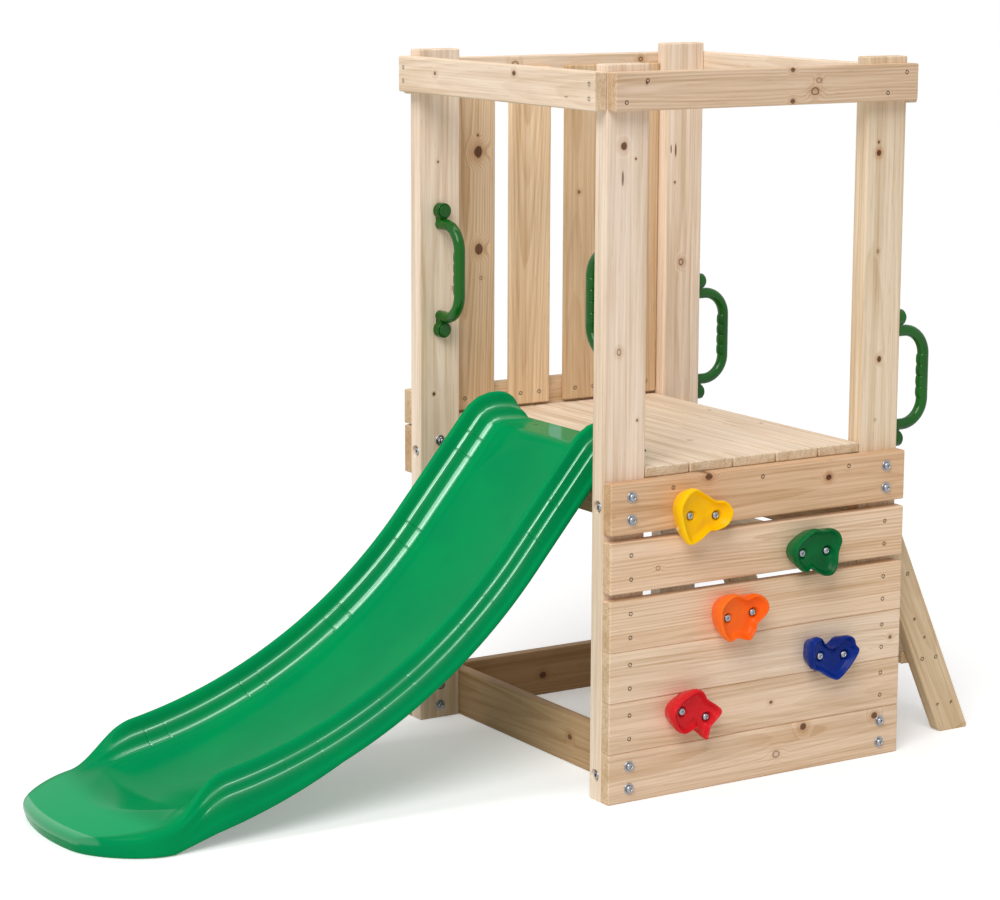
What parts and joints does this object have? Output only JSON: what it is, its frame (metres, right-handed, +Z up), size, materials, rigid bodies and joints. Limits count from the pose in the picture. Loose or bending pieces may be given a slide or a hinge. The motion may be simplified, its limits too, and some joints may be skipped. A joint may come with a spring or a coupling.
{
  "type": "wooden climbing frame",
  "caption": "Small wooden climbing frame with a raised deck, moulded slide, board wall with climbing holds, slatted side, leaning ladder and grab handles.",
  "frame": {"origin": "on the floor, in the middle of the outer box of the whole frame", "axes": "+Z up, the slide points to -Y and the ladder to +Y, the wall with the holds is on the +X side"},
  "size_m": [0.7426, 1.77, 1.27],
  "materials": {
    "post_timber": "planed pine",
    "rail_timber": "planed pine",
    "board_timber": "planed pine",
    "deck_timber": "planed pine",
    "slide_plastic": "glossy moulded",
    "handle_plastic": "glossy moulded",
    "hold_yellow": "satin moulded",
    "hold_green": "satin moulded",
    "hold_orange": "satin moulded",
    "hold_blue": "satin moulded",
    "hold_red": "satin moulded",
    "zinc_steel": "zinc plated"
  },
  "bodies": {
    "root": {"post_front_left": "post_timber", "post_front_right": "post_timber", "post_back_left": "post_timber", "post_back_right": "post_timber", "top_rail_front": "rail_timber", "top_rail_back": "rail_timber", "top_rail_left": "rail_timber", "top_rail_right": "rail_timber", "slat_rail": "rail_timber", "ladder_rail_left": "rail_timber", "ladder_rail_right": "rail_timber", "slat_1": "board_timber", "slat_2": "board_timber", "slat_3": "board_timber", "slat_4": "board_timber", "left_board_upper": "board_timber", "left_board_lower": "board_timber", "wall_board_1": "board_timber", "wall_board_2": "board_timber", "wall_board_3": "board_timber", "wall_board_4": "board_timber", "wall_board_5": "board_timber", "wall_board_6": "board_timber", "cross_rail_front_upper": "board_timber", "cross_rail_front_lower": "board_timber", "cross_rail_back_upper": "board_timber", "cross_rail_back_lower": "board_timber", "deck_board_1": "deck_timber", "deck_board_2": "deck_timber", "deck_board_3": "deck_timber", "deck_board_4": "deck_timber", "deck_board_5": "deck_timber", "deck_cleat_left": "rail_timber", "deck_cleat_right": "rail_timber", "ladder_tread_1": "deck_timber", "ladder_tread_2": "deck_timber", "ladder_tread_3": "deck_timber", "slide": "slide_plastic", "handle_front_left": "handle_plastic", "handle_front_right": "handle_plastic", "handle_back_left": "handle_plastic", "handle_back_right": "handle_plastic", "handle_caps": "handle_plastic", "hold_yellow": "hold_yellow", "hold_green": "hold_green", "hold_orange": "hold_orange", "hold_blue": "hold_blue", "hold_red": "hold_red", "side_bolts": "zinc_steel", "ladder_bolts": "zinc_steel", "cross_bolts": "zinc_steel", "washers": "zinc_steel", "nuts": "zinc_steel", "hold_bolts": "zinc_steel", "tee_nuts": "zinc_steel", "frame_screws": "zinc_steel", "slat_screws": "zinc_steel", "deck_screws": "zinc_steel", "tread_screws": "zinc_steel", "moulding_screws": "zinc_steel"}
  },
  "joints": []
}
